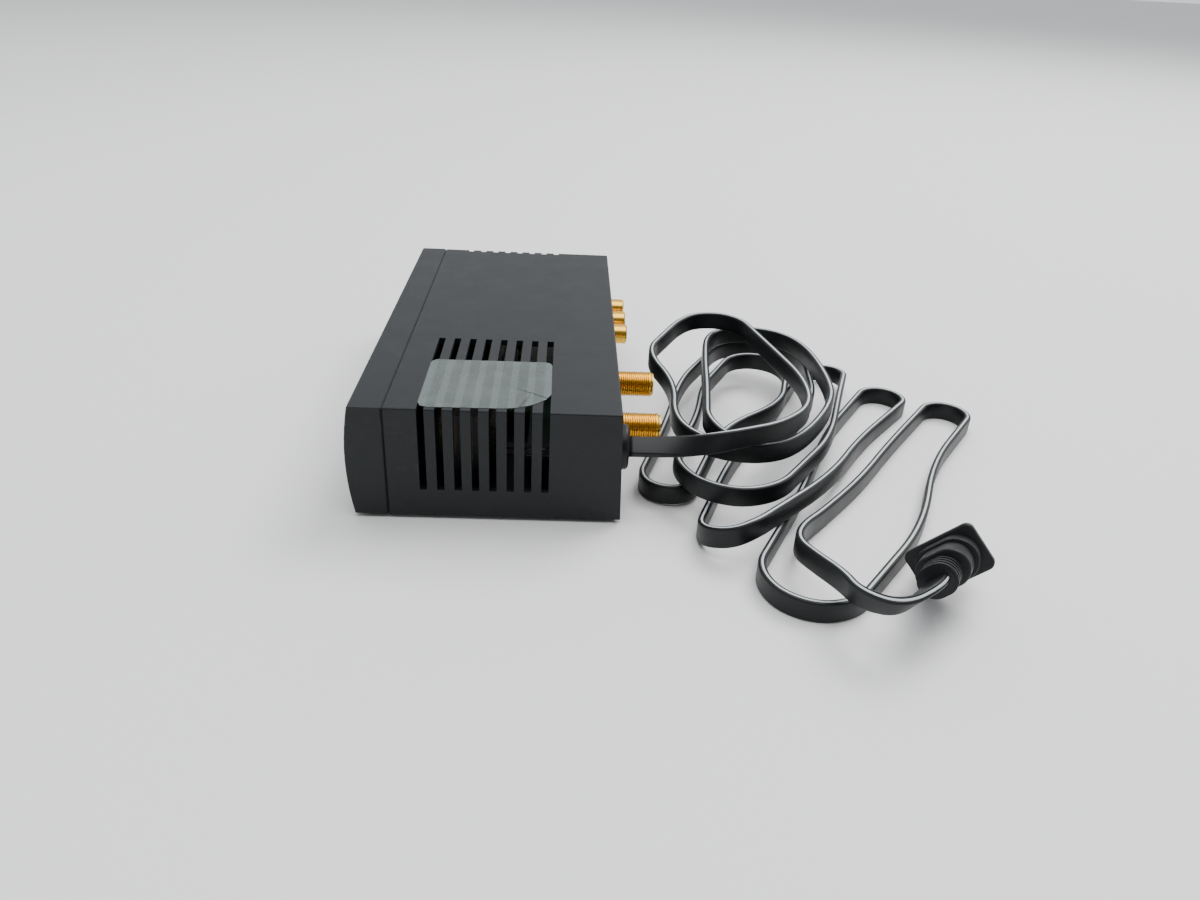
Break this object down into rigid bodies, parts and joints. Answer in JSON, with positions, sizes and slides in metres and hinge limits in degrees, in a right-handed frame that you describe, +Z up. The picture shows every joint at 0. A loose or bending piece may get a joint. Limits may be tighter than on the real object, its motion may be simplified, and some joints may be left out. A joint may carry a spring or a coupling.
{
  "type": "rf modulator",
  "caption": "Flat charcoal box that turns video and audio into a television channel, with threaded aerial sockets, phono sockets, slide switch and looped flat mains cord.",
  "frame": {"origin": "centre of the case and its rear sockets, on the surface that the feet stand on", "axes": "+X along the case's length towards the mains cord's side, +Y out of the rear with the sockets, +Z up"},
  "size_m": [0.2359, 0.243, 0.0412],
  "materials": {
    "case_plastic": "fine-textured charcoal moulding",
    "foot_rubber": "matte black rubber",
    "cord_rubber": "satin black vinyl",
    "plug_vinyl": "satin black vinyl",
    "blade_metal": "bright stamped metal",
    "screw_steel": "zinc-plated steel",
    "board_green": "green solder mask",
    "tin_plate": "tin-plated sheet",
    "gold_plate": "gold-coloured plating",
    "aerial_dielectric": "white insulator",
    "video_yellow": "yellow insulator",
    "audio_white": "white insulator",
    "audio_red": "red insulator",
    "socket_black": "black moulding",
    "switch_steel": "plain steel can",
    "core_iron": "varnished laminations",
    "winding_tape": "dark insulating tape",
    "capacitor_sleeve": "dark blue sleeve",
    "sink_aluminium": "plain aluminium",
    "lamp_red": "diffused red lens",
    "clear_film": "clear adhesive film",
    "lead_insulation": "black insulated wire"
  },
  "bodies": {
    "case": {"antenna_in_barrel": "gold_plate", "antenna_in_contact": "gold_plate", "antenna_in_insulator": "aerial_dielectric", "audio_left_in_contact": "gold_plate", "audio_left_in_insulator": "audio_white", "audio_left_in_sleeve": "gold_plate", "audio_right_in_contact": "gold_plate", "audio_right_in_insulator": "audio_red", "audio_right_in_sleeve": "gold_plate", "board_screw_1": "screw_steel", "board_screw_2": "screw_steel", "board_screw_3": "screw_steel", "board_screw_4": "screw_steel", "bottom_cover": "case_plastic", "bracket_screw_1": "screw_steel", "bracket_screw_2": "screw_steel", "bridge_rectifier": "socket_black", "channel_switch_body": "switch_steel", "circuit_board": "board_green", "cover_screw_1": "screw_steel", "cover_screw_2": "screw_steel", "cover_screw_3": "screw_steel", "cover_screw_4": "screw_steel", "filter_capacitor_1": "capacitor_sleeve", "filter_capacitor_2": "capacitor_sleeve", "front_bezel": "case_plastic", "heat_sink": "sink_aluminium", "jack_housing": "socket_black", "mains_lead_live": "lead_insulation", "mains_lead_neutral": "lead_insulation", "modulator_can": "tin_plate", "modulator_lid": "tin_plate", "plug_blade_narrow": "blade_metal", "plug_blade_wide": "blade_metal", "plug_body": "plug_vinyl", "power_cord_coil": "cord_rubber", "power_cord_lead": "cord_rubber", "power_cord_tail": "cord_rubber", "power_lamp": "lamp_red", "rear_panel": "case_plastic", "rubber_foot_1": "foot_rubber", "rubber_foot_2": "foot_rubber", "rubber_foot_3": "foot_rubber", "rubber_foot_4": "foot_rubber", "signal_chip_1": "socket_black", "signal_chip_2": "socket_black", "strain_relief": "cord_rubber", "top_cover": "case_plastic", "transformer_bracket": "core_iron", "transformer_core": "core_iron", "transformer_winding": "winding_tape", "tv_out_barrel": "gold_plate", "tv_out_contact": "gold_plate", "tv_out_insulator": "aerial_dielectric", "vent_film": "clear_film", "video_in_contact": "gold_plate", "video_in_insulator": "video_yellow", "video_in_sleeve": "gold_plate", "voltage_regulator": "socket_black"},
    "channel_switch": {"channel_switch_knob": "socket_black"}
  },
  "joints": [
    {"name": "channel_select", "type": "slide", "parent": "case", "child": "channel_switch", "axis": [1, 0, 0], "range_m": [0, 0.003]}
  ]
}
